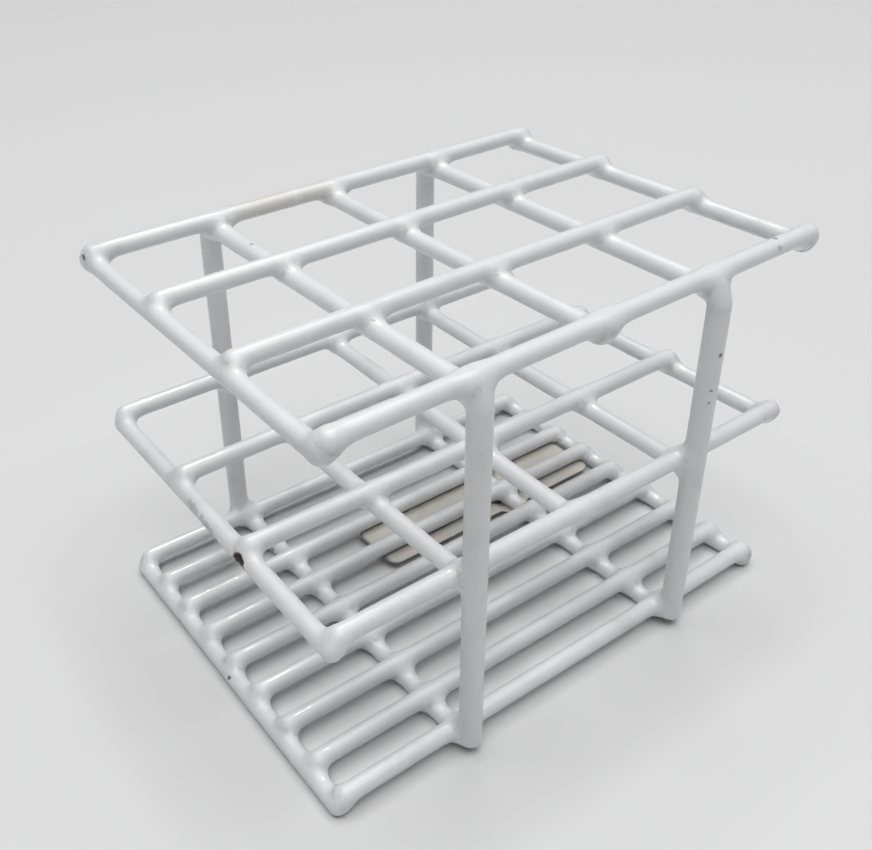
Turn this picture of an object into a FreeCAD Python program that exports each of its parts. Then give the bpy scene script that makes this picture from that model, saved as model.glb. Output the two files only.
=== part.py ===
import FreeCAD, Part
import math
import os
import Sketcher

# Wire test tube rack: welded steel wire, dip-coated, twelve tube cells.
# +X runs along the rack, +Y to its back and +Z up.
# The origin is on the bench, under the middle of the rack.

COLUMNS = 4            # tube cells along the rack
ROWS = 3               # tube cells from front to back
BASE_LONG_WIRES = 9    # wires that the tube bottoms stand on
HOOP_COLUMNS = (1, 3)  # cross wire places that the hoops take
TOUCH = 0.01           # edges nearer than this to a plane lie on it, in millimetres

# name, size in millimetres, what it is
SIZES = (
    ("cell_pitch_x", 30.0, "spacing of the cross wires along the rack"),
    ("cell_pitch_y", 28.7, "spacing of the long wires of the upper tiers"),
    ("wire_diameter", 3.9, "long and cross wires, over the coat"),
    ("hoop_diameter", 4.7, "wire of the two hoops, over the coat"),
    ("weld_lap", 1.65, "how far two coated wires run into each other at a weld"),
    ("wire_end_round", 1.5, "rounding of the coated wire ends"),
    ("long_overhang", 1.9, "long wire past the middle of the end cross wire"),
    ("tip_overhang", 3.6, "top front wire past the right end cross wire"),
    ("cross_overhang", 2.2, "cross wire past the middle of the outer long wire"),
    ("leg_reach", 0.3, "cross wire past the outer long wire where a hoop leg stands"),
    ("middle_inset", 1.2, "middle tier's end cross wires, inside those of the top tier"),
    ("middle_rise", 41.6, "base long wires to middle long wires"),
    ("top_rise", 83.1, "base long wires to top long wires"),
    ("hoop_bend_radius", 2.9, "middle line of the hoop's shoulders"),
    ("foot_rise", 2.0, "cut ends of the hoop legs above the bench"),
    ("foot_round", 0.7, "rounding of the coated leg ends"),
    ("bench_flat", 0.1, "coat worn flat under the base cross wires"),
    ("label_length", 68.4, "blank label strip along the rack"),
    ("label_width", 16.0, "blank label strip from front to back"),
    ("label_thickness", 0.3, "blank label strip"),
    ("label_corner_radius", 2.6, "rounded corners of the strip"),
    ("label_front", 5.6, "front edge of the strip behind the rack's middle line"),
    ("label_end_gap", 0.2, "strip to the right end cross wire"),
    ("label_dip_flat", 3.0, "part of the strip that is pressed under the cross wire"),
    ("label_dip_run", 4.0, "length of each slope of that dip"),
)

doc = FreeCAD.newDocument("test_tube_rack")
sheet = doc.addObject("Spreadsheet::Sheet", "Sizes")


def fill_sheet():
    """One row for each driving size: name, value with its alias, meaning."""
    for row, (name, value, meaning) in enumerate(SIZES, start=1):
        sheet.set(f"A{row}", name)
        sheet.set(f"B{row}", str(value))
        sheet.set(f"C{row}", meaning)
        sheet.setAlias(f"B{row}", name)
    doc.recompute()


# Expressions that several pieces share
WIRE_RADIUS = "Sizes.wire_diameter / 2"
HOOP_RADIUS = "Sizes.hoop_diameter / 2"
WIRE_STEP = "(Sizes.wire_diameter - Sizes.weld_lap)"
HOOP_STEP = "((Sizes.wire_diameter + Sizes.hoop_diameter) / 2 - Sizes.weld_lap)"
BASE_CROSS_Z = "(Sizes.wire_diameter / 2 - Sizes.bench_flat)"
BASE_LONG_Z = f"({BASE_CROSS_Z} + {WIRE_STEP})"
MIDDLE_LONG_Z = f"({BASE_LONG_Z} + Sizes.middle_rise)"
TOP_LONG_Z = f"({BASE_LONG_Z} + Sizes.top_rise)"
END_X = f"({COLUMNS / 2} * Sizes.cell_pitch_x)"
MIDDLE_END_X = f"({END_X} - Sizes.middle_inset)"
OUTER_Y = f"({ROWS / 2} * Sizes.cell_pitch_y)"
LEG_Y = f"({OUTER_Y} + {HOOP_STEP})"
BENCH_REACH = f"({END_X} + {OUTER_Y})"

# Where the solver starts from; the sizes then set every dimension
CIRCLE_START = 1.0
HOOP_START = {"out": 40.0, "up": 80.0, "bend": 4.0}
STRIP_START = {"step": 10.0, "rise": 2.0, "thickness": 1.0}

ALONG_X = FreeCAD.Rotation()
ALONG_Y = FreeCAD.Rotation(FreeCAD.Vector(0, 0, 1), 90)


def origin_plane(body, role):
    """The body's own origin plane with this role, such as XY_Plane."""
    for feature in body.Origin.OriginFeatures:
        if feature.Role == role:
            return feature
    raise ValueError(role)


def sketch_on(body, role, name):
    """An empty sketch on one of the body's origin planes."""
    sketch = body.newObject("Sketcher::SketchObject", name)
    sketch.AttachmentSupport = (origin_plane(body, role), [""])
    sketch.MapMode = "FlatFace"
    return sketch


def bind(sketch, index, expression):
    """Ties a sketch dimension to the sizes."""
    sketch.setExpression(f"Constraints[{index}]", expression)


def circle_sketch(body, role, name, radius):
    """A circle about the sketch's origin, with its radius from the sizes."""
    sketch = sketch_on(body, role, name)
    normal = FreeCAD.Vector(0, 0, 1)
    sketch.addGeometry(Part.Circle(FreeCAD.Vector(), normal, CIRCLE_START), False)
    sketch.addConstraint(Sketcher.Constraint("Coincident", 0, 3, -1, 1))
    size = sketch.addConstraint(Sketcher.Constraint("Radius", 0, CIRCLE_START))
    bind(sketch, size, radius)
    return sketch


def place(feature, rotation, x, y, z):
    """Turns a piece and ties its place to the sizes."""
    feature.Placement = FreeCAD.Placement(FreeCAD.Vector(), rotation)
    feature.setExpression("Placement.Base.x", x)
    feature.setExpression("Placement.Base.y", y)
    feature.setExpression("Placement.Base.z", z)


def end_edges(shape):
    """Names of the circular edges that close the ends of a bar."""
    names = []
    for index, edge in enumerate(shape.Edges, start=1):
        if edge.Closed and isinstance(edge.Curve, Part.Circle):
            names.append(f"Edge{index}")
    return names


def round_ends(body, name, radius):
    """Rounds both ends of the bar that is the body's tip."""
    doc.recompute()
    bar = body.Tip
    fillet = body.newObject("PartDesign::Fillet", name + "_ends")
    fillet.Base = (bar, end_edges(bar.Shape))
    fillet.setExpression("Radius", radius)
    bar.Visibility = False


def straight_wire(name, rotation, length, x, y, z):
    """A straight coated wire with rounded ends; x, y, z is the middle of its first end."""
    body = doc.addObject("PartDesign::Body", name)
    section = circle_sketch(body, "YZ_Plane", name + "_section", WIRE_RADIUS)
    pad = body.newObject("PartDesign::Pad", name + "_pad")
    pad.Profile = section
    pad.setExpression("Length", length)
    round_ends(body, name, "Sizes.wire_end_round")
    place(body, rotation, x, y, z)
    return body


def long_wire(name, y, z, left_end, right_end):
    """A wire along the rack between two places along X."""
    return straight_wire(name, ALONG_X, f"{right_end} - {left_end}", left_end, y, z)


def cross_wire(name, x, z, overhang):
    """A wire from front to back that passes the outer long wires by an overhang."""
    reach = f"({OUTER_Y} + {overhang})"
    return straight_wire(name, ALONG_Y, f"2 * {reach}", x, f"-{reach}", z)


def hoop_path(body, name):
    """Middle line of a hoop: up the front leg, over two shoulders and down the back leg."""
    path = sketch_on(body, "YZ_Plane", name + "_path")
    out = HOOP_START["out"]
    up = HOOP_START["up"]
    bend = HOOP_START["bend"]
    quarter = math.pi / 2
    normal = FreeCAD.Vector(0, 0, 1)

    def point(y, z):
        return FreeCAD.Vector(y, z, 0)

    def shoulder(y, start):
        circle = Part.Circle(point(y, up - bend), normal, bend)
        return Part.ArcOfCircle(circle, start, start + quarter)

    path.addGeometry([
        Part.LineSegment(point(-out, 0), point(-out, up - bend)),
        shoulder(bend - out, quarter),
        Part.LineSegment(point(bend - out, up), point(out - bend, up)),
        shoulder(out - bend, 0.0),
        Part.LineSegment(point(out, up - bend), point(out, 0)),
    ], False)
    for joint in ((0, 2, 1, 2), (1, 1, 2, 1), (2, 2, 3, 2), (3, 1, 4, 1)):
        path.addConstraint(Sketcher.Constraint("Tangent", *joint))
    path.addConstraint(Sketcher.Constraint("Vertical", 0))
    path.addConstraint(Sketcher.Constraint("Vertical", 4))
    path.addConstraint(Sketcher.Constraint("Horizontal", 2))
    path.addConstraint(Sketcher.Constraint("Symmetric", 0, 1, 4, 2, -2))
    path.addConstraint(Sketcher.Constraint("PointOnObject", 0, 1, -1))
    path.addConstraint(Sketcher.Constraint("Equal", 1, 3))
    radius = path.addConstraint(Sketcher.Constraint("Radius", 1, bend))
    span = path.addConstraint(Sketcher.Constraint("DistanceX", 0, 1, 4, 2, 2 * out))
    height = path.addConstraint(Sketcher.Constraint("DistanceY", -1, 1, 2, 1, up))
    bind(path, radius, "Sizes.hoop_bend_radius")
    bind(path, span, f"2 * {LEG_Y}")
    bind(path, height, f"{TOP_LONG_Z} - {HOOP_STEP} - Sizes.foot_rise")
    return path


def hoop(name, x):
    """One bent wire: two legs and the top bar that carries the top long wires."""
    body = doc.addObject("PartDesign::Body", name)
    path = hoop_path(body, name)
    section = circle_sketch(body, "XY_Plane", name + "_section", HOOP_RADIUS)
    section.setExpression("AttachmentOffset.Base.y", f"-{LEG_Y}")
    doc.recompute()
    pipe = body.newObject("PartDesign::AdditivePipe", name + "_pipe")
    pipe.Profile = section
    pipe.Spine = (path, [f"Edge{edge}" for edge in range(1, 6)])
    doc.recompute()
    pipe_feet = [
        f"Edge{index}" for index, edge in enumerate(pipe.Shape.Edges, start=1)
        if edge.BoundBox.ZMax < TOUCH
    ]
    fillet = body.newObject("PartDesign::Fillet", name + "_feet")
    fillet.Base = (pipe, pipe_feet)
    fillet.setExpression("Radius", "Sizes.foot_round")
    place(body, ALONG_X, x, "0", "Sizes.foot_rise")
    return body


def label_strip(name, dip_x):
    """Blank strip held against the base wires, pressed under the cross wire at dip_x."""
    body = doc.addObject("PartDesign::Body", name)
    right = f"({END_X} - {WIRE_RADIUS} - Sizes.label_end_gap)"
    left = f"({right} - Sizes.label_length)"
    drop = f"({BASE_LONG_Z} - {WIRE_RADIUS} - Sizes.label_thickness)"
    dip = f"({dip_x} - {left})"
    stations = (
        "0",
        f"{dip} - Sizes.label_dip_flat / 2 - Sizes.label_dip_run",
        f"{dip} - Sizes.label_dip_flat / 2",
        f"{dip} + Sizes.label_dip_flat / 2",
        f"{dip} + Sizes.label_dip_flat / 2 + Sizes.label_dip_run",
        "Sizes.label_length",
    )
    heights = (drop, drop, "0", "0", drop, drop)
    under = list(zip(stations, heights))
    over = [(x, f"{z} + Sizes.label_thickness") for x, z in reversed(under)]
    outline = under + over
    guess = [
        (STRIP_START["step"] * i, STRIP_START["rise"] if height == drop else 0.0)
        for i, height in enumerate(heights)
    ]
    guess += [(x, z + STRIP_START["thickness"]) for x, z in reversed(guess)]
    sketch = sketch_on(body, "XZ_Plane", name + "_outline")
    count = len(outline)
    for i in range(count):
        start = FreeCAD.Vector(*guess[i], 0)
        end = FreeCAD.Vector(*guess[(i + 1) % count], 0)
        sketch.addGeometry(Part.LineSegment(start, end), False)
    for i in range(count):
        sketch.addConstraint(Sketcher.Constraint("Coincident", i, 2, (i + 1) % count, 1))
    for i, place_of_corner in enumerate(outline):
        for kind, value, start in zip(("DistanceX", "DistanceY"), place_of_corner, guess[i]):
            index = sketch.addConstraint(Sketcher.Constraint(kind, -1, 1, i, 1, start))
            bind(sketch, index, value)
    pad = body.newObject("PartDesign::Pad", name + "_pad")
    pad.Profile = sketch
    pad.Reversed = True
    pad.setExpression("Length", "Sizes.label_width")
    doc.recompute()
    corners = []
    for index, edge in enumerate(pad.Shape.Edges, start=1):
        box = edge.BoundBox
        at_end = box.XMax < TOUCH or box.XMin > sheet.label_length - TOUCH
        if at_end and box.ZLength > TOUCH:
            corners.append(f"Edge{index}")
    fillet = body.newObject("PartDesign::Fillet", name + "_corners")
    fillet.Base = (pad, corners)
    fillet.setExpression("Radius", "Sizes.label_corner_radius")
    place(body, ALONG_X, left, "Sizes.label_front", "0")
    return body


def group(name, members):
    """Several pieces as one cutting tool."""
    compound = doc.addObject("Part::Compound", name)
    compound.Links = members
    return compound


def seat(piece, tool):
    """Cuts from a wire the seats of the wires that it is welded to."""
    name = piece.Label
    piece.Label = name + "_bar"
    cut = doc.addObject("Part::Cut", name + "_seated")
    cut.Base = piece
    cut.Tool = tool
    cut.Label = name
    return cut


def tier_long_wires(tier, z, left_end, right_ends):
    """The long wires of one tier, numbered from the front; one right end for each."""
    wires = []
    last = len(right_ends) - 1
    for number, right_end in enumerate(right_ends):
        y = f"({number / last * 2 - 1} * {OUTER_Y})"
        wires.append(long_wire(f"{tier}_long_wire_{number + 1}", y, z, left_end, right_end))
    return wires


def column_x(column, end_x):
    """Place of a cross wire; the end ones stand at the tier's own end."""
    if column in (0, COLUMNS):
        return f"({column / COLUMNS * 2 - 1} * {end_x})"
    return f"({column - COLUMNS / 2} * Sizes.cell_pitch_x)"


fill_sheet()

hoop_places = [column_x(column, END_X) for column in HOOP_COLUMNS]
hoops = [hoop(name, x) for name, x in zip(("hoop_left", "hoop_right"), hoop_places)]

# Top tier; its front wire has the longer right tip
top_cross_z = f"{TOP_LONG_Z} - {WIRE_STEP}"
top_columns = [column for column in range(COLUMNS + 1) if column not in HOOP_COLUMNS]
top_cross = []
for number, column in enumerate(top_columns, start=1):
    x = column_x(column, END_X)
    top_cross.append(cross_wire(f"top_cross_wire_{number}", x, top_cross_z, "Sizes.cross_overhang"))
left_tip = f"-({END_X} + Sizes.long_overhang)"
right_tip = f"({END_X} + Sizes.long_overhang)"
front_right_tip = f"({END_X} + Sizes.tip_overhang)"
top_long = tier_long_wires("top", TOP_LONG_Z, left_tip, [front_right_tip] + [right_tip] * ROWS)

# Middle tier
middle_cross_z = f"{MIDDLE_LONG_Z} - {WIRE_STEP}"
middle_cross = []
for column in range(COLUMNS + 1):
    overhang = "Sizes.leg_reach" if column in HOOP_COLUMNS else "Sizes.cross_overhang"
    x = column_x(column, MIDDLE_END_X)
    middle_cross.append(cross_wire(f"middle_cross_wire_{column + 1}", x, middle_cross_z, overhang))
middle_left_tip = f"-({MIDDLE_END_X} + Sizes.long_overhang)"
middle_right_tip = f"({MIDDLE_END_X} + Sizes.long_overhang)"
middle_long = tier_long_wires("middle", MIDDLE_LONG_Z, middle_left_tip, [middle_right_tip] * (ROWS + 1))

# Base tier
base_cross = []
for number, column in enumerate([0, *HOOP_COLUMNS, COLUMNS], start=1):
    overhang = "Sizes.leg_reach" if column in HOOP_COLUMNS else "Sizes.cross_overhang"
    x = column_x(column, END_X)
    base_cross.append(cross_wire(f"base_cross_wire_{number}", x, BASE_CROSS_Z, overhang))
base_long = tier_long_wires("base", BASE_LONG_Z, left_tip, [right_tip] * BASE_LONG_WIRES)
label = label_strip("base_label_strip", column_x(HOOP_COLUMNS[-1], END_X))

# The bench, which the base cross wires have worn flat against
bench = doc.addObject("Part::Box", "bench")
bench.setExpression("Length", f"2 * {BENCH_REACH}")
bench.setExpression("Width", f"2 * {BENCH_REACH}")
bench.setExpression("Height", "Sizes.wire_diameter")
place(bench, ALONG_X, f"-{BENCH_REACH}", f"-{BENCH_REACH}", "-Sizes.wire_diameter")

# Seats: the long wires are notched over the wires that carry them
hoop_group = group("hoops_tool", hoops)
top_tool = group("top_tool", top_cross + hoops)
middle_tool = group("middle_tool", middle_cross + hoops)
base_tool = group("base_tool", base_cross + hoops)
bench_tool = group("bench_tool", [bench, label])

nodes = hoops + top_cross
nodes += [seat(wire, top_tool) for wire in top_long]
for column, wire in enumerate(middle_cross):
    nodes.append(seat(wire, hoop_group) if column in HOOP_COLUMNS else wire)
nodes += [seat(wire, middle_tool) for wire in middle_long]
nodes += [seat(wire, bench_tool) for wire in base_cross]
nodes += [seat(wire, base_tool) for wire in base_long]
nodes.append(label)

doc.recompute()

for thing in doc.Objects:
    if "Invalid" in thing.State or "Error" in thing.State:
        raise RuntimeError(f"{thing.Label}: {thing.State}")
    if thing.isDerivedFrom("Sketcher::SketchObject") and not thing.FullyConstrained:
        raise RuntimeError(f"{thing.Label} is free to move")
for node in nodes:
    if node.Shape.isNull() or not node.Shape.isValid() or len(node.Shape.Solids) != 1:
        raise RuntimeError(f"{node.Label} is not one valid solid")

os.makedirs("parts", exist_ok=True)
for node in nodes:
    node.Shape.exportStep(f"parts/{node.Label}.step")
print(f"{len(nodes)} nodes written")
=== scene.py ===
import math

import bpy
import numpy as np
from mathutils import Matrix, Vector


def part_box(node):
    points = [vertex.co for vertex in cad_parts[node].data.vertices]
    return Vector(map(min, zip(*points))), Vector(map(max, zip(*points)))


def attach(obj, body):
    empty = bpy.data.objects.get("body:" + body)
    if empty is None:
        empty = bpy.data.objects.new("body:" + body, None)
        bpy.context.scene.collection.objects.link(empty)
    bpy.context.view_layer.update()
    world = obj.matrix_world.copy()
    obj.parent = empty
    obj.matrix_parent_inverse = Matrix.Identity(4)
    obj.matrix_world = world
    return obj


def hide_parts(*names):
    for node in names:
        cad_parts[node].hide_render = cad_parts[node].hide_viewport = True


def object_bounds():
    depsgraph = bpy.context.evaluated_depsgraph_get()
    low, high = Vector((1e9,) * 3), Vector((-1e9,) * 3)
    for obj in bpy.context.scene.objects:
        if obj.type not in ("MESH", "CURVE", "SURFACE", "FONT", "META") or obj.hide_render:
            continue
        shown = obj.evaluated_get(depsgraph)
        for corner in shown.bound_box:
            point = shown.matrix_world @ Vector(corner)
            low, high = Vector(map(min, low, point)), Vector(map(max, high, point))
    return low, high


mm = 0.001  # one millimetre in scene units

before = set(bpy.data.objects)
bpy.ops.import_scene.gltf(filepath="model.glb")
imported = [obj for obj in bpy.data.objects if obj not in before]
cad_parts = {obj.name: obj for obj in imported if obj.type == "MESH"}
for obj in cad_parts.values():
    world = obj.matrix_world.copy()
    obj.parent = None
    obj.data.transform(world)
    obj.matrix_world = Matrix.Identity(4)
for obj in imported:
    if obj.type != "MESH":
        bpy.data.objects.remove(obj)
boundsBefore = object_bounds()
boxLow, boxHigh = (np.array(corner) for corner in boundsBefore)
print("stage 1: frame loaded")

# Wires: every straight wire and hoop is a coated tube that melts into the wires it is welded to

wireSizes = {
    "weldBlend": 3.2 * mm,        # reach of the coat's fillet in a weld corner
    "edgeBlend": 1.3 * mm,        # added reach along the top tier's front and back edges, with the thickest coat
    "edgeOut": 39,                # distance from the middle at which that starts, in millimetres
    "edgeUp": 79,                 # height at which it starts, in millimetres
    "edgeRun": (4, 3),            # way over which it grows, outwards and upwards, in millimetres
    "bulgeLimit": 1.6 * mm,       # how far the coat may swell out of a wire
    "sinkLimit": 0.3 * mm,        # how far it may sink in
    "passes": 26,                 # steps that move a point onto the coat's surface
    "passShare": 0.85,            # share of the way taken in each step
    "longMargin": 0.03 * mm,      # long wires keep this far inside the part's box, so no two faces coincide
    "tuck": 0.03 * mm,            # a wire dips this far under its neighbour's coat
    "tuckRun": 0.5 * mm,          # change from open to tucked
    "cornerReach": 2.4 * mm,      # how far from a seam dirt settles
    "cornerLift": 0.35 * mm,      # coat thickness at which it settles in full
    "endRound": 1.7 * mm,         # rounding of the coated wire ends
    "around": 44,                 # points round a thin wire
    "aroundHoop": 52,             # points round a hoop
    "fineStep": 0.34 * mm,        # ring spacing near a weld
    "fineReach": 2.6 * mm,        # nearness to another wire that calls for it
    "coarseStep": 1.5 * mm,       # ring spacing elsewhere
    "coatWave": 0.014 * mm,       # slow changes of the coat's thickness
    "sway": 0.22 * mm,            # how far a wire strays from straight
    "joined": 4,                  # how many of the nearest wires share the coat at a point
    "reachSlack": 1.0 * mm,       # added to the reach at which another wire counts as near
    "samples": 400,               # places along a wire that tell which other wires are near
    "probes": 1200,               # places that tell where fine steps are needed
    "capRings": 7,                # rings in each rounded end
}

hoopSizes = {
    "bend": 2.8 * mm,       # middle line of the shoulders
    "footRound": 0.8 * mm,  # rounding of the coated leg ends
    "barThin": 0.3 * mm,    # the coat has run down, so the top bar's radius is this much less than the legs'
    "thinRun": 9.0 * mm,    # way along the bar over which it gets thinner
    "bendRings": 26,        # rings in each shoulder
    "capRings": 6,          # rings in each rounded leg end
    "samples": 900,         # places along a hoop that tell which other wires are near
}

# Hand-made wires don't lie quite true: sideways shift at the low and high end, then how far the two tips
# fall short of the straight wire's, all in millimetres
untrue = {
    "top_long_wire_1": (-1.1, 0.8, 2.0, 1.2),
    "top_long_wire_2": (-0.5, 0.3, 2.2, 0.5),
    "top_long_wire_3": (-0.7, 0.0, 2.2, 0.5),
    "top_long_wire_4": (-1.3, -1.0, 0.9, 0.5),
    "top_cross_wire_1": (-0.1, 0.3, 0.0, 0.0),
    "top_cross_wire_2": (0.3, -0.3, 0.2, 0.2),
    "top_cross_wire_3": (1.0, -0.7, 2.2, 0.2),
    "middle_long_wire_1": (0.1, -0.3, 1.3, 0.4),
    "middle_long_wire_2": (1.1, 0.2, 1.0, 0.4),
    "middle_long_wire_3": (0.6, 1.0, 1.6, 0.4),
    "middle_long_wire_4": (1.3, 1.1, 1.5, 0.4),
    "middle_cross_wire_1": (-0.9, 0.2, 0.2, 0.2),
    "middle_cross_wire_2": (0.2, 0.4, 0.0, 0.0),
    "middle_cross_wire_3": (-1.4, 0.6, 1.4, 0.2),
    "middle_cross_wire_4": (-0.9, 0.1, 0.0, 0.0),
    "middle_cross_wire_5": (0.0, -0.5, 1.6, 0.2),
    "base_cross_wire_1": (0.4, 0.7, 1.3, 1.2),
    "base_cross_wire_2": (0.1, 0.8, 0.0, 0.0),
    "base_cross_wire_3": (-0.2, 1.0, 0.0, 0.0),
    "base_cross_wire_4": (-0.3, 1.2, 0.6, 0.4),
    "base_long_wire_1": (0.5, 0.6, 2.4, 0.6),
    "base_long_wire_2": (-0.4, -0.7, 2.7, 0.6),
    "base_long_wire_3": (-0.3, -0.4, 2.7, 0.6),
}
usualTips = (2.7, 0.6)

# The hoops lean: sideways shift of the front foot, front shoulder, back shoulder and back foot, in millimetres
hoopLean = {
    "hoop_left": (0.4, -0.1, -0.8, -0.8),
    "hoop_right": (0.2, 0.1, 0.8, 0.5),
}

rng = np.random.default_rng(7)


# Straight wire from its CAD box: axis along the long side, centre a radius below the box's top
def straightWire(name, along):
    lo, hi = (np.array(corner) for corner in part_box(name))
    side = 1 - along
    radius = (hi[side] - lo[side]) / 2
    centre = (lo + hi) / 2
    centre[2] = hi[2] - radius
    start, end, lowTip, highTip = untrue.get(name, (0.0, 0.0) + usualTips)
    start, end = start * mm, end * mm
    lo, hi = lo[along] + lowTip * mm, hi[along] - highTip * mm
    sway = rng.uniform(-1, 1, 4) * wireSizes["sway"]
    return {"name": name, "kind": "straight", "along": along, "side": side, "radius": radius,
            "centre": centre, "lo": lo, "hi": hi, "sway": sway, "ends": (start, end)}


# Hoop from its CAD box: legs, quarter circle shoulders and a top bar in the plane of constant x
def hoopWire(name):
    lo, hi = (np.array(corner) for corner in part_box(name))
    radius = (hi[0] - lo[0]) / 2
    return {"name": name, "kind": "hoop", "x": (lo[0] + hi[0]) / 2, "radius": radius,
            "legY": hi[1] - radius, "barZ": hi[2] - radius, "footZ": lo[2],
            "lean": np.array(hoopLean[name]) * mm}


wires = [hoopWire(name) for name in ("hoop_left", "hoop_right")]
for tier, crossCount, longCount in (("top", 3, 4), ("middle", 5, 4), ("base", 4, 9)):
    wires += [straightWire(f"{tier}_cross_wire_{i + 1}", 1) for i in range(crossCount)]
    wires += [straightWire(f"{tier}_long_wire_{i + 1}", 0) for i in range(longCount)]


# Stray of a wire's middle line: a straight slant sideways, and two sine waves over its length, sideways and
# upwards
def strayOf(wire, s):
    t = np.clip((s - wire["lo"]) / (wire["hi"] - wire["lo"]), 0, 1)
    bow = np.sin(math.pi * t)
    wave = np.sin(2 * math.pi * t)
    sway, (start, end) = wire["sway"], wire["ends"]
    sideways = start + (end - start) * t + sway[0] * bow + sway[1] * wave * 0.5
    return sideways, (sway[2] * bow + sway[3] * wave * 0.5) * 0.5


# Distance to a straight wire: distance to a rounded cylinder about its swaying middle line
def straightDistance(wire, p):
    s = p[..., wire["along"]]
    sideways, upward = strayOf(wire, s)
    a = p[..., wire["side"]] - wire["centre"][wire["side"]] - sideways
    b = p[..., 2] - wire["centre"][2] - upward
    e = wireSizes["endRound"]
    middle, half = (wire["lo"] + wire["hi"]) / 2, (wire["hi"] - wire["lo"]) / 2
    lengthways = np.abs(s - middle) - (half - e)
    outwards = np.hypot(a, b) - (wire["radius"] - e)
    outside = np.hypot(np.maximum(lengthways, 0), np.maximum(outwards, 0))
    return outside + np.minimum(np.maximum(lengthways, outwards), 0) - e


# Sideways place of a hoop: the four leans mixed by the share of the way to the back and of the way up
def hoopX(wire, y, z):
    back = np.clip((y + wire["legY"]) / (2 * wire["legY"]), 0, 1)
    up = np.clip(z / wire["barZ"], 0, 1)
    frontFoot, frontTop, backTop, backFoot = wire["lean"]
    front = frontFoot + (frontTop - frontFoot) * up
    return wire["x"] + front + (backFoot + (backTop - backFoot) * up - front) * back


# Radius of a hoop: full on the legs, then a smooth step down to the thinner top bar
def hoopRadius(wire, y):
    t = np.clip((wire["legY"] - np.abs(y)) / hoopSizes["thinRun"], 0, 1)
    return wire["radius"] - hoopSizes["barThin"] * t * t * (3 - 2 * t)


# Distance to a hoop: distance to its path of leg, quarter circle and bar, all taken to the positive y side,
# less its radius
def hoopDistance(wire, p):
    bend, y, z = hoopSizes["bend"], np.abs(p[..., 1]), p[..., 2]
    cy, cz = wire["legY"] - bend, wire["barZ"] - bend
    leg = np.hypot(y - wire["legY"], np.maximum(z - cz, 0))
    bar = np.hypot(np.maximum(y - cy, 0), z - wire["barZ"])
    arc = np.where((y > cy) & (z > cz), np.abs(np.hypot(y - cy, z - cz) - bend), np.inf)
    flat = np.minimum(np.minimum(leg, bar), arc)
    aside = p[..., 0] - hoopX(wire, p[..., 1], z)
    tube = np.hypot(flat, aside) - hoopRadius(wire, y)
    e = hoopSizes["footRound"]
    below = wire["footZ"] + e - z
    outside = np.hypot(np.maximum(below, 0), np.maximum(tube + e, 0))
    rounded = outside + np.minimum(np.maximum(below, tube + e), 0) - e
    return np.where(z < cz, rounded, tube)


def distanceTo(wire, p):
    return straightDistance(wire, p) if wire["kind"] == "straight" else hoopDistance(wire, p)


# Coat waves along x, y and z: radians per millimetre, where each starts, and the share of their product
coatWaveForms = [
    ((0.61, 0.53, 0.71), (1.3, 0.4, 2.2), 1.0),
    ((1.37, 1.21, 1.53), (0.2, 2.9, 0.7), 0.35),
]


# Coat waves: a slow and a quicker product of sine waves through space, in and out alike
def coatWaves(p):
    waves = [share * np.prod(np.sin(p / mm * rates + starts), axis=-1)
             for rates, starts, share in coatWaveForms]
    return wireSizes["coatWave"] * sum(waves)


# Coat surface field: the distances to all near wires, smallest first, joined two at a time by a smooth
# minimum whose reach grows along the top tier's front and back edges
def coatField(own, near, p):
    d = np.sort(np.stack([distanceTo(wire, p) for wire in [own] + near]), axis=0)[:wireSizes["joined"]]
    runOut, runUp = wireSizes["edgeRun"]
    edge = np.clip((np.abs(p[..., 1]) / mm - wireSizes["edgeOut"]) / runOut, 0, 1)
    edge = edge * np.clip((p[..., 2] / mm - wireSizes["edgeUp"]) / runUp, 0, 1)
    k = wireSizes["weldBlend"] + wireSizes["edgeBlend"] * edge
    field = d[0]
    for other in d[1:]:
        h = np.maximum(k - np.abs(field - other), 0) / k
        field = np.minimum(field, other) - h * h * k / 4
    return field - coatWaves(p)


# The wires whose coat can touch this one: those with a sample point of the middle line in reach
def nearWires(wire, line):
    reach = wire["radius"] + wireSizes["weldBlend"] + wireSizes["edgeBlend"] + wireSizes["reachSlack"]
    return [other for other in wires if other is not wire and distanceTo(other, line).min() < reach]


# Places along a line: coarse steps, with fine steps wherever another wire comes near
def stepPlaces(start, end, near, pointAt):
    probe = np.linspace(start, end, wireSizes["probes"])
    line = pointAt(probe)
    gap = np.full(len(probe), np.inf)
    for other in near:
        gap = np.minimum(gap, distanceTo(other, line))
    step = np.where(gap < wireSizes["fineReach"], wireSizes["fineStep"], wireSizes["coarseStep"])
    count = np.concatenate([[0.0], np.cumsum(np.diff(probe) / step[:-1])])
    return np.interp(np.linspace(0, count[-1], max(int(count[-1]) + 2, 4)), count, probe)


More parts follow.
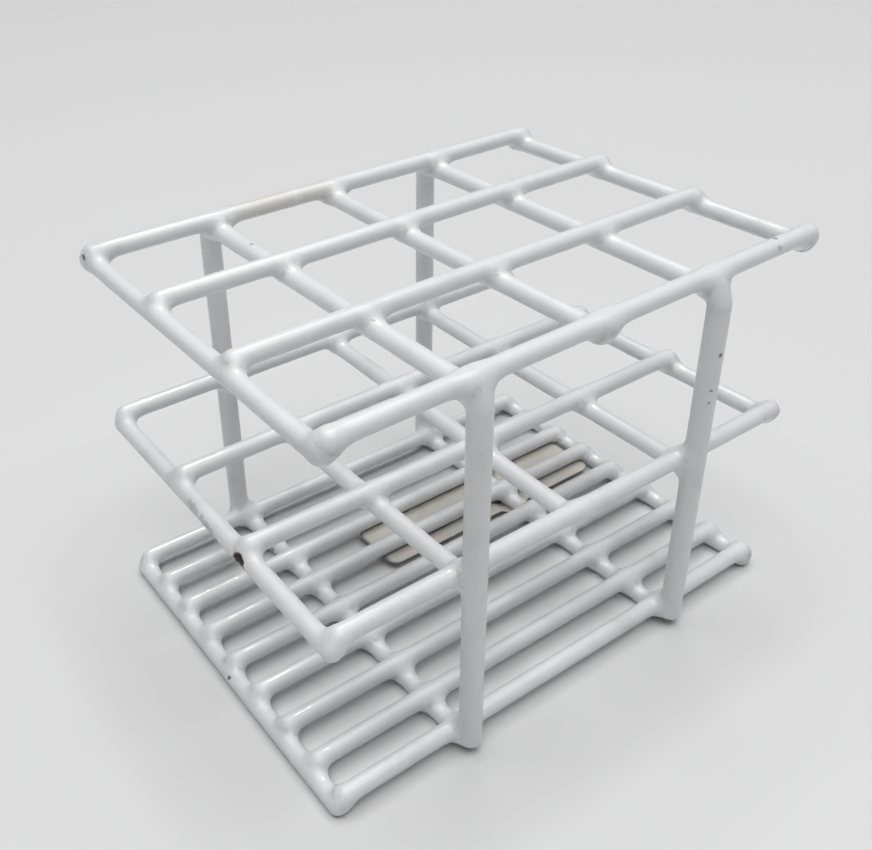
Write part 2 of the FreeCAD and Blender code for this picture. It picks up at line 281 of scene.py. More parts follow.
# Mesh from a grid of rings: quads between rings, closed round each ring, a fan to one point at both ends
def ringMesh(name, rings, extra):
    count, around = rings.shape[:2]
    verts = np.concatenate([rings.reshape(-1, 3), [rings[0].mean(axis=0), rings[-1].mean(axis=0)]])
    i, j = np.meshgrid(np.arange(count - 1), np.arange(around), indexing="ij")
    k = (j + 1) % around
    corners = [i * around + j, i * around + k, (i + 1) * around + k, (i + 1) * around + j]
    quads = np.stack(corners, -1).reshape(-1, 4)
    ring = np.arange(around)
    after = (ring + 1) % around
    first = np.stack([after, ring, np.full(around, count * around)], -1)
    base = (count - 1) * around
    last = np.stack([base + ring, base + after, np.full(around, count * around + 1)], -1)
    mesh = bpy.data.meshes.new(name)
    mesh.from_pydata(verts.tolist(), [], quads.tolist() + first.tolist() + last.tolist())
    for key, values in extra.items():
        layer = mesh.attributes.new(key, "FLOAT", "POINT")
        spread = np.concatenate([values.ravel(), values[0, :1], values[-1, :1]]).astype(np.float32)
        layer.data.foreach_set("value", spread)
    mesh.polygons.foreach_set("use_smooth", np.ones(len(mesh.polygons), bool))
    mesh.update()
    piece = bpy.data.objects.new(name, mesh)
    bpy.context.collection.objects.link(piece)
    return piece


# Straight tube grid: rings at places along the axis, radius and normal from a rounded end profile
def straightGrid(wire):
    e, radius = wireSizes["endRound"], wire["radius"]
    turn = np.linspace(0, math.pi / 2, wireSizes["capRings"] + 1)[1:]
    capS = e * (1 - np.cos(turn))
    capR = (radius - e) + e * np.sin(turn)
    along, side = wire["along"], wire["side"]

    def pointAt(s):
        p = np.zeros((len(s), 3))
        sideways, upward = strayOf(wire, s)
        p[:, along] = s
        p[:, side] = wire["centre"][side] + sideways
        p[:, 2] = wire["centre"][2] + upward
        return p

    near = nearWires(wire, pointAt(np.linspace(wire["lo"], wire["hi"], wireSizes["samples"])))
    inner = stepPlaces(wire["lo"] + e, wire["hi"] - e, near, pointAt)
    s = np.concatenate([[wire["lo"]], wire["lo"] + capS, inner[1:-1], wire["hi"] - capS[::-1], [wire["hi"]]])
    r = np.concatenate([[radius - e], capR, np.full(len(inner) - 2, radius), capR[::-1], [radius - e]])
    lengthways = np.concatenate([[-1], -np.cos(turn), np.zeros(len(inner) - 2), np.cos(turn[::-1]), [1]])
    outwards = np.sqrt(np.maximum(1 - lengthways ** 2, 0))
    angle = np.linspace(0, 2 * math.pi, wireSizes["around"], endpoint=False)
    if along == 1:
        angle = -angle  # so that the faces point outwards
    centre = pointAt(s)[:, None, :]
    spoke = np.zeros((1, len(angle), 3))
    spoke[0, :, side] = np.cos(angle)
    spoke[0, :, 2] = np.sin(angle)
    axis = np.zeros(3)
    axis[along] = 1
    points = centre + spoke * r[:, None, None]
    normals = spoke * outwards[:, None, None] + axis * lengthways[:, None, None]
    return points, normals, near


# Hoop grid: rings at right angles to a path up the front leg, round two shoulders and down the back leg
def hoopGrid(wire):
    bend, e = hoopSizes["bend"], hoopSizes["footRound"]
    legTop, barHalf = wire["barZ"] - bend, wire["legY"] - bend
    legLength, arcLength = legTop - wire["footZ"], bend * math.pi / 2
    total = 2 * legLength + 2 * arcLength + 2 * barHalf

    def pathAt(s):
        m = np.minimum(s, total - s)  # both halves are alike
        turn = np.clip((m - legLength) / bend, 0, math.pi / 2)
        onBar = barHalf - (m - legLength - arcLength)
        y = np.where(m < legLength + arcLength, wire["legY"] - bend * (1 - np.cos(turn)), onBar)
        z = np.where(m < legLength, wire["footZ"] + m, legTop + bend * np.sin(turn))
        front = s < total / 2
        y = np.where(front, -y, y)
        point = np.stack([hoopX(wire, y, z), y, z], -1)
        outY = np.where(front, -np.cos(turn), np.cos(turn))
        return point, np.stack([np.zeros_like(s), outY, np.sin(turn)], -1)

    near = nearWires(wire, pathAt(np.linspace(0, total, hoopSizes["samples"]))[0])
    inner = stepPlaces(e, total - e, near, lambda s: pathAt(s)[0])
    bends = [np.linspace(start, start + arcLength, hoopSizes["bendRings"])
             for start in (legLength, total - legLength - arcLength)]
    inner = np.unique(np.concatenate([inner] + bends).round(7))  # rounded, so that equal places merge
    turn = np.linspace(0, math.pi / 2, hoopSizes["capRings"] + 1)[1:]
    capS, capR = e * (1 - np.cos(turn)), (wire["radius"] - e) + e * np.sin(turn)
    s = np.concatenate([[0.0], capS, inner[1:-1], total - capS[::-1], [total]])
    radius = wire["radius"]
    r = np.concatenate([[radius - e], capR, np.full(len(inner) - 2, radius), capR[::-1], [radius - e]])
    lengthways = np.concatenate([[-1], -np.cos(turn), np.zeros(len(inner) - 2), np.cos(turn[::-1]), [1]])
    centre, out = pathAt(s)
    r = r - radius + hoopRadius(wire, centre[:, 1])
    angle = np.linspace(0, 2 * math.pi, wireSizes["aroundHoop"], endpoint=False)
    across = np.array([1.0, 0.0, 0.0])
    spoke = np.cos(angle)[None, :, None] * out[:, None, :] + np.sin(angle)[None, :, None] * across
    forward = np.cross(across, out)
    points = centre[:, None, :] + spoke * r[:, None, None]
    outwards = np.sqrt(np.maximum(1 - lengthways ** 2, 0))
    normals = spoke * outwards[:, None, None] + forward[:, None, :] * lengthways[:, None, None]
    return points, normals, near


chipSizes = {
    "place": np.array([-61.5, -13.9, 43.6]) * mm,  # worn weld at the left end of the middle tier
    "radius": 2.0 * mm,
    "depth": 0.4 * mm,
    "wave": (0.084, 3.1, 1.0, 3.7),                # ragged edge: share, rate and start along x, rate along y
    "slant": (0.06, 4.9, 2.0),                     # slanting wave in it: share, rates along z and y
    "edge": 0.16,                                  # width of the edge as a share of the radius
    "rim": 1.15,                                   # rusty rim's radius as a share of the chip's
    "rimRagged": 0.1,                              # raggedness of the rust's edge in the material
    "bareRagged": 0.08,                            # raggedness of the bare steel's edge
}


# Chip: how much coat is missing, one inside a ragged ball about the worn place and zero outside it
def chipMask(p):
    q = p / mm
    share, rateX, startX, rateY = chipSizes["wave"]
    ragged = share * np.sin(q[..., 0] * rateX + startX) * np.sin(q[..., 1] * rateY)
    share, rateZ, rateY = chipSizes["slant"]
    ragged = ragged + share * np.sin(q[..., 2] * rateZ + q[..., 1] * rateY)
    reach = np.linalg.norm(p - chipSizes["place"], axis=-1) / chipSizes["radius"] + ragged
    return np.clip((1.0 - reach) / chipSizes["edge"], 0, 1)


# Coated wire: each point of the plain tube moves out along its normal until it lies on the coat field
def coatedWire(wire):
    grid = straightGrid if wire["kind"] == "straight" else hoopGrid
    points, normals, near = grid(wire)
    t = np.zeros(points.shape[:2])
    for _ in range(wireSizes["passes"]):
        field = coatField(wire, near, points + normals * t[..., None])
        t = np.clip(t - wireSizes["passShare"] * field, -wireSizes["sinkLimit"], wireSizes["bulgeLimit"])
    placed = points + normals * t[..., None]
    own = distanceTo(wire, placed)
    others = np.min([distanceTo(other, placed) for other in near], axis=0)
    hidden = np.clip((own - others) / wireSizes["tuckRun"] + 0.5, 0, 1)
    placed = placed - normals * (wireSizes["tuck"] * hidden)[..., None]
    corner = np.clip(1 - np.abs(own - others) / wireSizes["cornerReach"], 0, 1)
    corner = corner * np.clip(own / wireSizes["cornerLift"], 0, 1)
    placed = placed - normals * (chipSizes["depth"] * chipMask(placed))[..., None]
    margin = wireSizes["longMargin"] if wire.get("along") == 0 else 0.0
    placed = np.clip(placed, boxLow + margin, boxHigh - margin)
    piece = ringMesh(wire["name"] + "_coat", placed, {"weldCorner": corner})
    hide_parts(wire["name"])
    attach(piece, "root")
    return piece


coatPieces = [coatedWire(wire) for wire in wires]
print("stage 2: coated wires", len(coatPieces), "triangles", sum(len(p.data.polygons) for p in coatPieces) * 2)

# Label strip: thin rounded slab under the base wires, pressed down where the cross wire crosses it

labelSizes = {
    "thickness": 0.26 * mm,
    "corner": 2.6 * mm,
    "dipFlat": 3.0 * mm,   # length pressed flat under the cross wire
    "dipRun": 4.0 * mm,    # length of each slope
    "curl": 0.12 * mm,     # ripple of the strip
    "sideGap": 0.05 * mm,  # how far its outline stays inside its box
    "gap": 0.01 * mm,      # how far its faces stay inside its box
    "ripple": (0.21, 0.5, 0.19, 1.0),  # radians per millimetre and start, along x and along y
    "rings": 64,           # rings on each face
    "innerRing": 0.02,     # first ring's share of the outline
    "edgeRings": 5,        # rings round the edge
    "outline": 240,        # points round the outline
    "cornerPoints": 12,    # points in each corner's arc
    "rimShadowWidth": 1.5,       # painted shadow under the edge: dark rim, as a share of the rounded edge's width
}


# Rounded rectangle: corner arcs and straight sides walked at even steps of an angle-like parameter
def roundedOutline(halfX, halfY, corner, count):
    pts = []
    for sideX, sideY, start in ((1, 1, 0), (-1, 1, 90), (-1, -1, 180), (1, -1, 270)):
        a = np.radians(np.linspace(start, start + 90, labelSizes["cornerPoints"]))
        x = sideX * (halfX - corner) + corner * np.cos(a)
        y = sideY * (halfY - corner) + corner * np.sin(a)
        pts.append(np.stack([x, y], -1))
    loop = np.concatenate(pts + [pts[0][:1]])
    length = np.concatenate([[0], np.cumsum(np.hypot(*np.diff(loop, axis=0).T))])
    at = np.linspace(0, length[-1], count, endpoint=False)
    return np.stack([np.interp(at, length, loop[:, 0]), np.interp(at, length, loop[:, 1])], -1)


# Strip height: level, smooth slopes down and up again about the cross wire, and a slow ripple
def stripHeight(x, y, dipX, high, low):
    away = np.abs(x - dipX) - labelSizes["dipFlat"] / 2
    t = np.clip(away / labelSizes["dipRun"], 0, 1)
    level = low + (high - low) * t * t * (3 - 2 * t)
    rateX, startX, rateY, startY = labelSizes["ripple"]
    ripple = np.sin(x / mm * rateX + startX) * np.cos(y / mm * rateY + startY)
    return level + labelSizes["curl"] * (ripple - 1.0) * t


# Strip slab: outline rings from the middle out over the top, round the edge and back under
def labelStrip():
    lo, hi = (np.array(corner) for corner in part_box("base_label_strip"))
    thickness = labelSizes["thickness"]
    half = (hi - lo) / 2 - labelSizes["sideGap"]
    centre = (lo + hi) / 2
    outline = roundedOutline(half[0], half[1], labelSizes["corner"], labelSizes["outline"])
    fraction = np.linspace(labelSizes["innerRing"], 1, labelSizes["rings"])
    turn = np.linspace(0, math.pi, labelSizes["edgeRings"] + 2)[1:-1]
    inset = thickness / 2 / half[1]
    face, level = fraction * (1 - inset), np.ones(len(fraction))
    scale = np.concatenate([face, 1 - inset + inset * np.sin(turn), face[::-1]])
    lift = np.concatenate([level, np.cos(turn), -level]) * thickness / 2
    rings = np.zeros((len(scale), len(outline), 3))
    rings[..., 0] = centre[0] + scale[:, None] * outline[:, 0]
    rings[..., 1] = centre[1] + scale[:, None] * outline[:, 1]
    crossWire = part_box("base_cross_wire_3")
    dipX = (crossWire[0][0] + crossWire[1][0]) / 2
    away = thickness / 2 + labelSizes["gap"]
    high, low = hi[2] - away, lo[2] + away
    rings[..., 2] = stripHeight(rings[..., 0], rings[..., 1], dipX, high, low) + lift[:, None]
    rings = rings[:, ::-1]  # so that the faces point outwards
    # Painted shadow: a dark rim round the strip's edge, passed on to the material
    rim = np.clip((scale - (1 - labelSizes["rimShadowWidth"] * inset)) / inset, 0, 1)[:, None] * np.ones(len(outline))
    piece = ringMesh("label_strip", rings, {"stripRimShadow": rim})
    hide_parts("base_label_strip")
    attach(piece, "root")
    return piece


strip = labelStrip()
print("stage 3: label strip")

# Materials: small helpers, then node groups for what several materials share


# Inputs of a node: a socket is linked, anything else is set as the value
def fillInputs(tree, node, inputs):
    for key, value in inputs.items():
        if isinstance(value, bpy.types.NodeSocket):
            tree.links.new(value, node.inputs[key])
        else:
            node.inputs[key].default_value = value


def addNode(tree, kind, inputs, **settings):
    node = tree.nodes.new(kind)
    for key, value in settings.items():
        setattr(node, key, value)
    fillInputs(tree, node, inputs)
    return node


def mathNode(tree, operation, a, b=0.0, clamp=False):
    node = addNode(tree, "ShaderNodeMath", {0: a, 1: b}, operation=operation, use_clamp=clamp)
    return node.outputs[0]


# Smooth step: zero at the low value, one at the high one; a high value below the low one turns it round
def rangeNode(tree, value, low, high):
    node = addNode(tree, "ShaderNodeMapRange", {0: value, 1: low, 2: high}, interpolation_type="SMOOTHSTEP")
    return node.outputs[0]


def noiseNode(tree, position, scale, detail, rough=0.5):
    inputs = {"Vector": position, "Scale": scale, "Detail": detail, "Roughness": rough}
    return addNode(tree, "ShaderNodeTexNoise", inputs).outputs[0]


def mixColour(tree, factor, a, b):
    node = addNode(tree, "ShaderNodeMix", {0: factor, 6: a, 7: b}, data_type="RGBA")  # 6 and 7 are its colours
    return node.outputs[2]


def newGroup(name, inputs, outputs):
    group = bpy.data.node_groups.new(name, "ShaderNodeTree")
    for label, kind, value in inputs:
        socket = group.interface.new_socket(label, in_out="INPUT", socket_type=kind)
        socket.default_value = value
    for label, kind in outputs:
        group.interface.new_socket(label, in_out="OUTPUT", socket_type=kind)
    return group, group.nodes.new("NodeGroupInput"), group.nodes.new("NodeGroupOutput")


# The noises below are given as scale, detail and, where it isn't the usual 0.5, roughness

spotLook = {
    "notches": (1500.0, 4.0, 0.6),  # noise that breaks up a spot's edge
    "notchShare": 4.0,              # how deep it cuts at raggedness one
    "edge": (1.0, 0.75),            # from outside to inside, as shares of the radius
}


# Spot: one near a place and zero beyond a radius, with a ragged edge
def makeSpotGroup():
    group, start, end = newGroup("wornSpot", [
        ("Position", "NodeSocketVector", (0, 0, 0)), ("Place", "NodeSocketVector", (0, 0, 0)),
        ("Radius", "NodeSocketFloat", 0.001), ("Ragged", "NodeSocketFloat", 0.5),
    ], [("Mask", "NodeSocketFloat")])
    far = addNode(group, "ShaderNodeVectorMath", {0: start.outputs["Position"], 1: start.outputs["Place"]},
                  operation="DISTANCE").outputs["Value"]
    share = mathNode(group, "DIVIDE", far, start.outputs["Radius"])
    noise = noiseNode(group, start.outputs["Position"], *spotLook["notches"])
    push = mathNode(group, "MULTIPLY", mathNode(group, "SUBTRACT", noise, 0.5), start.outputs["Ragged"])
    edge = mathNode(group, "ADD", share, mathNode(group, "MULTIPLY", push, spotLook["notchShare"]))
    group.links.new(rangeNode(group, edge, *spotLook["edge"]), end.inputs["Mask"])
    return group


grimeLook = {
    "patches": (260.0, 5.0, 0.65),  # breaks up the dirt in weld corners
    "patchRange": (0.42, 0.72),
    "cornerShare": 0.5,
    "blotches": (60.0, 6.0, 0.7),   # faint blotches anywhere
    "blotchRange": (0.5, 0.8),
    "blotchShare": 0.25,
    "speckScale": 260.0,            # cells, each with a small dark speck in its middle
    "speckRange": (0.055, 0.03),
    "areas": (75.0, 2.0),           # the few areas in which the specks show
    "areaRange": (0.6, 0.66),
}


# Grime: brownish dirt where it settles, in weld corners and in faint blotches, and small dark specks
def makeGrimeGroup():
    group, start, end = newGroup("settledGrime", [
        ("Position", "NodeSocketVector", (0, 0, 0)), ("Corner", "NodeSocketFloat", 0.0),
    ], [("Dirt", "NodeSocketFloat"), ("Specks", "NodeSocketFloat")])
    position, look = start.outputs["Position"], grimeLook
    patchy = rangeNode(group, noiseNode(group, position, *look["patches"]), *look["patchRange"])
    blotch = rangeNode(group, noiseNode(group, position, *look["blotches"]), *look["blotchRange"])
    corners = mathNode(group, "MULTIPLY", start.outputs["Corner"], patchy)
    dirt = mathNode(group, "MULTIPLY", corners, look["cornerShare"])
    dirt = mathNode(group, "ADD", dirt, mathNode(group, "MULTIPLY", blotch, look["blotchShare"]), clamp=True)
    cells = addNode(group, "ShaderNodeTexVoronoi", {"Vector": position, "Scale": look["speckScale"]})
    dots = rangeNode(group, cells.outputs["Distance"], *look["speckRange"])
    areas = rangeNode(group, noiseNode(group, position, *look["areas"]), *look["areaRange"])
    specks = mathNode(group, "MULTIPLY", dots, areas)
    group.links.new(dirt, end.inputs["Dirt"])
    group.links.new(specks, end.inputs["Specks"])
    return group


grainLook = {"detail": 2.0, "finerBy": 5.0, "finerShare": 0.12}


# Grain: fine height for a surface that isn't quite even, two scales of noise
def makeGrainGroup():
    group, start, end = newGroup("unevenGrain", [
        ("Position", "NodeSocketVector", (0, 0, 0)), ("Scale", "NodeSocketFloat", 300.0),
    ], [("Height", "NodeSocketFloat")])
    slow = noiseNode(group, start.outputs["Position"], start.outputs["Scale"], grainLook["detail"])
    finer = mathNode(group, "MULTIPLY", start.outputs["Scale"], grainLook["finerBy"])
    fine = noiseNode(group, start.outputs["Position"], finer, grainLook["detail"])
    fine = mathNode(group, "MULTIPLY", fine, grainLook["finerShare"])
    group.links.new(mathNode(group, "ADD", slow, fine), end.inputs["Height"])
    return group


spotGroup, grimeGroup, grainGroup = makeSpotGroup(), makeGrimeGroup(), makeGrainGroup()


def groupNode(tree, group, inputs):
    node = tree.nodes.new("ShaderNodeGroup")
    node.node_tree = group
    fillInputs(tree, node, inputs)
    return node


def newMaterial(name):
    material = bpy.data.materials.new(name)
    material.use_nodes = True
    tree = material.node_tree
    tree.nodes.clear()
    output = tree.nodes.new("ShaderNodeOutputMaterial")
    shader = tree.nodes.new("ShaderNodeBsdfPrincipled")
    tree.links.new(shader.outputs[0], output.inputs[0])
    position = tree.nodes.new("ShaderNodeTexCoord").outputs["Object"]
    return material, tree, shader, position


# Grain of a material: the shared height group through a bump node
def addGrain(tree, shader, position, look):
    height = groupNode(tree, grainGroup, {"Position": position, "Scale": look["grainScale"]}).outputs[0]
    inputs = {"Strength": 1.0, "Distance": look["grainDepth"], "Height": height}
    tree.links.new(addNode(tree, "ShaderNodeBump", inputs).outputs[0], shader.inputs["Normal"])


coatLook = {
    "colour": (0.765, 0.78, 0.79, 1),
    "roughness": 0.36,
    "glaze": 0.35,           # thin clear layer over the coat, for the lamp's glints
    "glazeRoughness": 0.04,
    "dirtColour": (0.30, 0.28, 0.24, 1),
    "speckColour": (0.09, 0.07, 0.055, 1),
    "stainColour": (0.60, 0.55, 0.42, 1),
    "rustColour": (0.20, 0.085, 0.035, 1),
    "steelColour": (0.005, 0.004, 0.004, 1),
    "specular": 0.3,         # of the coat itself; none on bare steel
    "dirtRoughness": 0.35,   # added where there is dirt or rust
    "speckShare": 0.5,       # how strongly the small specks show
    "lineShare": 0.7,        # how strongly the soot line shows
    "grainScale": 420.0,     # unevenness of the coat
    "grainDepth": 0.00005,   # in metres
}

# Marks of wear: x, y, z, radius and raggedness in millimetres, then the share of the mark's colour
rustPlaces = [
    (29.8, -48.0, 71.9, 0.55, 0.3, 0.8), (28.9, -47.8, 61.1, 0.35, 0.3, 0.6),
    (29.0, -47.8, 63.9, 0.4, 0.3, 0.6), (-61.9, -9.5, 45.3, 0.9, 0.5, 0.5),
    (-61.5, -12.2, 45.6, 0.8, 0.5, 0.55),
]
darkPlaces = [
    (-62.2, 41.5, 87.0, 0.9, 0.4, 0.85), (-61.7, 44.6, 86.2, 0.8, 0.4, 0.6),
    (-62.0, 19.9, 3.4, 0.7, 0.4, 0.8), (-61.2, 20.9, 1.6, 0.7, 0.4, 0.7), (-61.1, -2.6, 2.9, 0.6, 0.4, 0.8),
    (-60.7, 6.9, 44.6, 0.9, 0.35, 0.2), (-60.9, 5.4, 44.4, 1.1, 0.35, 0.25),
    (-61.0, 3.7, 44.2, 1.0, 0.35, 0.2), (-61.1, 1.4, 44.0, 1.1, 0.35, 0.25),
    (-61.3, -0.1, 43.6, 1.2, 0.35, 0.3), (-61.3, -1.6, 43.5, 1.2, 0.35, 0.3),
    (-61.4, -3.0, 43.5, 0.9, 0.35, 0.2), (31.9, 15.1, 88.9, 0.7, 0.4, 0.6),
    (-40.0, -16.0, 44.5, 0.6, 0.4, 0.6), (-31.3, 28.8, 2.1, 0.7, 0.4, 0.6),
    (-30.8, 26.3, 86.6, 0.5, 0.4, 0.5), (13.9, -15.6, 44.3, 0.5, 0.4, 0.5),
    (49.7, -42.3, 89.1, 0.6, 0.4, 0.6), (49.0, -44.4, 88.0, 0.7, 0.5, 0.35),
    (59.2, -42.6, 84.6, 1.0, 0.5, 0.5),
]
stainPlaces = [
    (-17.0, 41.0, 88.9, 6.0, 0.4, 0.35), (-6.0, 41.0, 88.9, 5.0, 0.4, 0.3),
    (-24.0, 41.5, 88.9, 3.5, 0.4, 0.25),
]

# Soot line along the upper back edge of the top back wire, in millimetres
lineMark = {
    "y": 43.6,
    "z": 88.9,
    "x": (-25.0, 14.0),
    "halfWidth": 0.55,
    "core": 0.4,                # share of the width that is fully dark
    "fade": 2,                  # length over which each end fades
    "breaks": (180.0, 3.0),     # noise that breaks the line up
    "breakRange": (0.38, 0.5),
}


# Marks: every spot in the list mixes its colour in where its mask is high
def addMarks(tree, position, colour, places, markColour):
    for x, y, z, radius, ragged, share in places:
        spot = groupNode(tree, spotGroup, {"Position": position, "Place": (x * mm, y * mm, z * mm),
                                           "Radius": radius * mm, "Ragged": ragged}).outputs[0]
        colour = mixColour(tree, mathNode(tree, "MULTIPLY", spot, share), colour, markColour)
    return colour


# Line mark: high within half a width of a line along x, broken up by noise
def lineMask(tree, position):
    axes = addNode(tree, "ShaderNodeSeparateXYZ", {0: position}).outputs
    across = mathNode(tree, "ABSOLUTE", mathNode(tree, "SUBTRACT", axes["Y"], lineMark["y"] * mm))
    below = mathNode(tree, "ABSOLUTE", mathNode(tree, "SUBTRACT", axes["Z"], lineMark["z"] * mm))
    half = lineMark["halfWidth"] * mm
    thin = rangeNode(tree, mathNode(tree, "MAXIMUM", across, below), half, lineMark["core"] * half)
    start, end = (x * mm for x in lineMark["x"])
    fade = lineMark["fade"] * mm
    fadeIn = rangeNode(tree, axes["X"], start, start + fade)
    fadeOut = rangeNode(tree, axes["X"], end, end - fade)
    span = mathNode(tree, "MULTIPLY", fadeIn, fadeOut)
    broken = rangeNode(tree, noiseNode(tree, position, *lineMark["breaks"]), *lineMark["breakRange"])
    return mathNode(tree, "MULTIPLY", mathNode(tree, "MULTIPLY", thin, span), broken)


def makeCoatMaterial():
    material, tree, shader, position = newMaterial("coatedWire")
    corner = addNode(tree, "ShaderNodeAttribute", {}, attribute_name="weldCorner").outputs["Fac"]
    grime = groupNode(tree, grimeGroup, {"Position": position, "Corner": corner})
    colour = mixColour(tree, grime.outputs["Dirt"], coatLook["colour"], coatLook["dirtColour"])
    colour = addMarks(tree, position, colour, stainPlaces, coatLook["stainColour"])
    specks = mathNode(tree, "MULTIPLY", grime.outputs["Specks"], coatLook["speckShare"])
    colour = mixColour(tree, specks, colour, coatLook["speckColour"])
    line = mathNode(tree, "MULTIPLY", lineMask(tree, position), coatLook["lineShare"])
    colour = mixColour(tree, line, colour, coatLook["speckColour"])
    colour = addMarks(tree, position, colour, darkPlaces, coatLook["speckColour"])
    colour = addMarks(tree, position, colour, rustPlaces, coatLook["rustColour"])
    place = tuple(float(v) for v in chipSizes["place"])
    radius = float(chipSizes["radius"])
    rim = groupNode(tree, spotGroup, {"Position": position, "Place": place, "Radius": radius * chipSizes["rim"],
                                      "Ragged": chipSizes["rimRagged"]}).outputs[0]
    bare = groupNode(tree, spotGroup, {"Position": position, "Place": place, "Radius": radius,
                                       "Ragged": chipSizes["bareRagged"]}).outputs[0]
    colour = mixColour(tree, rim, colour, coatLook["rustColour"])
    colour = mixColour(tree, bare, colour, coatLook["steelColour"])
    tree.links.new(colour, shader.inputs["Base Color"])
    more = coatLook["dirtRoughness"]
    dirtShare = mathNode(tree, "MULTIPLY", grime.outputs["Dirt"], more)
    rough = mathNode(tree, "ADD", coatLook["roughness"], dirtShare)
    rough = mathNode(tree, "ADD", rough, mathNode(tree, "MULTIPLY", rim, more), clamp=True)
    tree.links.new(rough, shader.inputs["Roughness"])
    shine = mathNode(tree, "MULTIPLY", mathNode(tree, "SUBTRACT", 1.0, bare), coatLook["specular"])
    tree.links.new(shine, shader.inputs["Specular IOR Level"])
    shader.inputs["Coat Weight"].default_value = coatLook["glaze"]
    shader.inputs["Coat Roughness"].default_value = coatLook["glazeRoughness"]
    addGrain(tree, shader, position, coatLook)
    return material


labelLook = {
    "colour": (0.50, 0.48, 0.44, 1),
    "dirtColour": (0.24, 0.20, 0.16, 1),
    # colour of the painted shadow: contact lines under the wires and the rim round the edge
    "contactShadowColour": (0.03, 0.025, 0.02, 1),
    "roughness": 0.6,
    "wireY": (10.45, 21.2),  # where the wires above touch the strip, in millimetres
    "contactShadowWidth": 0.6,        # painted contact shadow where they touch it, half its width in millimetres
    "contactShadowCore": 0.7,         # share of that width that is fully dark with painted shadow
    "lineShare": 0.6,        # how strongly the painted shadow lines and the painted shadow rim show
    "dirtShare": 0.3,        # how much of the dirt that settles in corners lies on it
    "grainScale": 600.0,
    "grainDepth": 0.00003,
}


def makeLabelMaterial():
    material, tree, shader, position = newMaterial("labelStrip")
    grime = groupNode(tree, grimeGroup, {"Position": position, "Corner": labelLook["dirtShare"]})
    colour = mixColour(tree, grime.outputs["Dirt"], labelLook["colour"], labelLook["dirtColour"])
    # Painted shadow round the strip's edge, from the rim attribute
    line = addNode(tree, "ShaderNodeAttribute", {}, attribute_name="stripRimShadow").outputs["Fac"]
    across = addNode(tree, "ShaderNodeSeparateXYZ", {0: position}).outputs["Y"]
    # Painted contact shadow: a dark line along the strip under each wire that touches it
    for y in labelLook["wireY"]:
        away = mathNode(tree, "ABSOLUTE", mathNode(tree, "SUBTRACT", across, y * mm))
        width = labelLook["contactShadowWidth"] * mm
        near = rangeNode(tree, away, width, labelLook["contactShadowCore"] * width)
        line = mathNode(tree, "MAXIMUM", line, near)
    line = mathNode(tree, "MULTIPLY", line, labelLook["lineShare"])
    colour = mixColour(tree, line, colour, labelLook["contactShadowColour"])
    tree.links.new(colour, shader.inputs["Base Color"])
    shader.inputs["Roughness"].default_value = labelLook["roughness"]
    addGrain(tree, shader, position, labelLook)
    return material


coatMaterial = makeCoatMaterial()
for piece in coatPieces:
    piece.data.materials.append(coatMaterial)
strip.data.materials.append(makeLabelMaterial())
print("stage 4: materials")

# Floor, light and camera

floorLook = {"size": 6.0, "colour": (0.66, 0.66, 0.662, 1), "roughness": 0.8}


def makeFloor():
    half = floorLook["size"] / 2
    mesh = bpy.data.meshes.new("floor")
    corners = [(-half, -half, 0), (half, -half, 0), (half, half, 0), (-half, half, 0)]
    mesh.from_pydata(corners, [], [(0, 1, 2, 3)])
    floor = bpy.data.objects.new("floor", mesh)
    bpy.context.collection.objects.link(floor)
    material, _, shader, _ = newMaterial("paleFloor")
    shader.inputs["Base Color"].default_value = floorLook["colour"]
    shader.inputs["Roughness"].default_value = floorLook["roughness"]
    mesh.materials.append(material)


makeFloor()

lights = {
    # name: place, aim, width, height, watts, lights surfaces
    "ceilingPanel": ((0.0, -0.25, 3.2), (0.0, -0.25, 0.03), 4.0, 4.0, 162.0, True),
    "lamp": ((0.565, 0.8, 2.0), (0.565, 0.0, 0.03), 0.28, 0.35, 28.0, False),
}


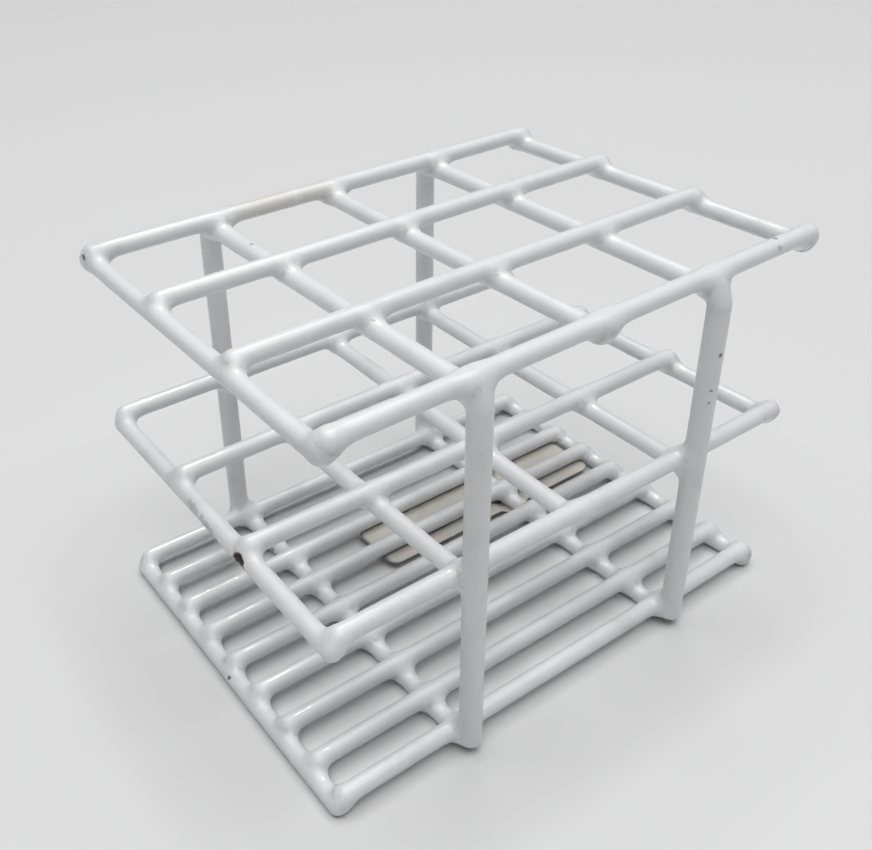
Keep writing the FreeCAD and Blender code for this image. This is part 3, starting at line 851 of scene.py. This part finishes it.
# Area light; one that doesn't light surfaces is only seen as a glint
def makeLight(name, place, aim, width, height, watts, lightsSurfaces):
    data = bpy.data.lights.new(name, "AREA")
    data.shape = "RECTANGLE"
    data.size, data.size_y, data.energy = width, height, watts
    light = bpy.data.objects.new(name, data)
    light.visible_diffuse = lightsSurfaces
    towards = np.array(aim) - np.array(place)
    light.location = place
    flat = math.hypot(towards[0], towards[1])
    light.rotation_euler = (math.atan2(flat, -towards[2]), 0, math.atan2(towards[1], towards[0]) - math.pi / 2)
    bpy.context.collection.objects.link(light)


for name, settings in lights.items():
    makeLight(name, *settings)

worldLook = {"colour": (0.96, 0.97, 1.0, 1), "strength": 0.03}

world = bpy.data.worlds.new("softRoom")
bpy.context.scene.world = world
world.use_nodes = True
background = world.node_tree.nodes["Background"]
background.inputs[0].default_value = worldLook["colour"]
background.inputs[1].default_value = worldLook["strength"]

cameraLook = {
    "place": (-0.12796, -0.15438, 0.17642),
    "azimuth": math.radians(-34.219),
    "elevation": math.radians(30.543),
    "roll": -0.03338,
    "focalPixels": 1055.7,
    "widthPixels": 872,
    "sensorWidth": 36.0,
    "shift": (0.08986, -0.06744),
    "clip": (0.01, 20.0),
}


# Camera: looks against the direction given by azimuth and elevation, then rolls about it
def makeCamera():
    data = bpy.data.cameras.new("camera")
    data.sensor_fit, data.sensor_width = "HORIZONTAL", cameraLook["sensorWidth"]
    data.lens = cameraLook["focalPixels"] / cameraLook["widthPixels"] * cameraLook["sensorWidth"]
    data.shift_x, data.shift_y = cameraLook["shift"]
    data.clip_start, data.clip_end = cameraLook["clip"]
    camera = bpy.data.objects.new("camera", data)
    a, e, roll = cameraLook["azimuth"], cameraLook["elevation"], cameraLook["roll"]
    back = np.array([math.sin(a) * math.cos(e), -math.cos(a) * math.cos(e), math.sin(e)])
    right = np.array([-back[1], back[0], 0.0])
    right /= np.linalg.norm(right)
    up = np.cross(back, right)
    right, up = math.cos(roll) * right + math.sin(roll) * up, -math.sin(roll) * right + math.cos(roll) * up
    matrix = np.eye(4)
    for column, vector in enumerate((right, up, back, cameraLook["place"])):
        matrix[:3, column] = vector
    bpy.context.collection.objects.link(camera)
    camera.matrix_world = Matrix(matrix.tolist())
    bpy.context.scene.camera = camera


makeCamera()
bpy.context.scene.view_settings.view_transform = "Standard"
print("stage 5: floor, light and camera")
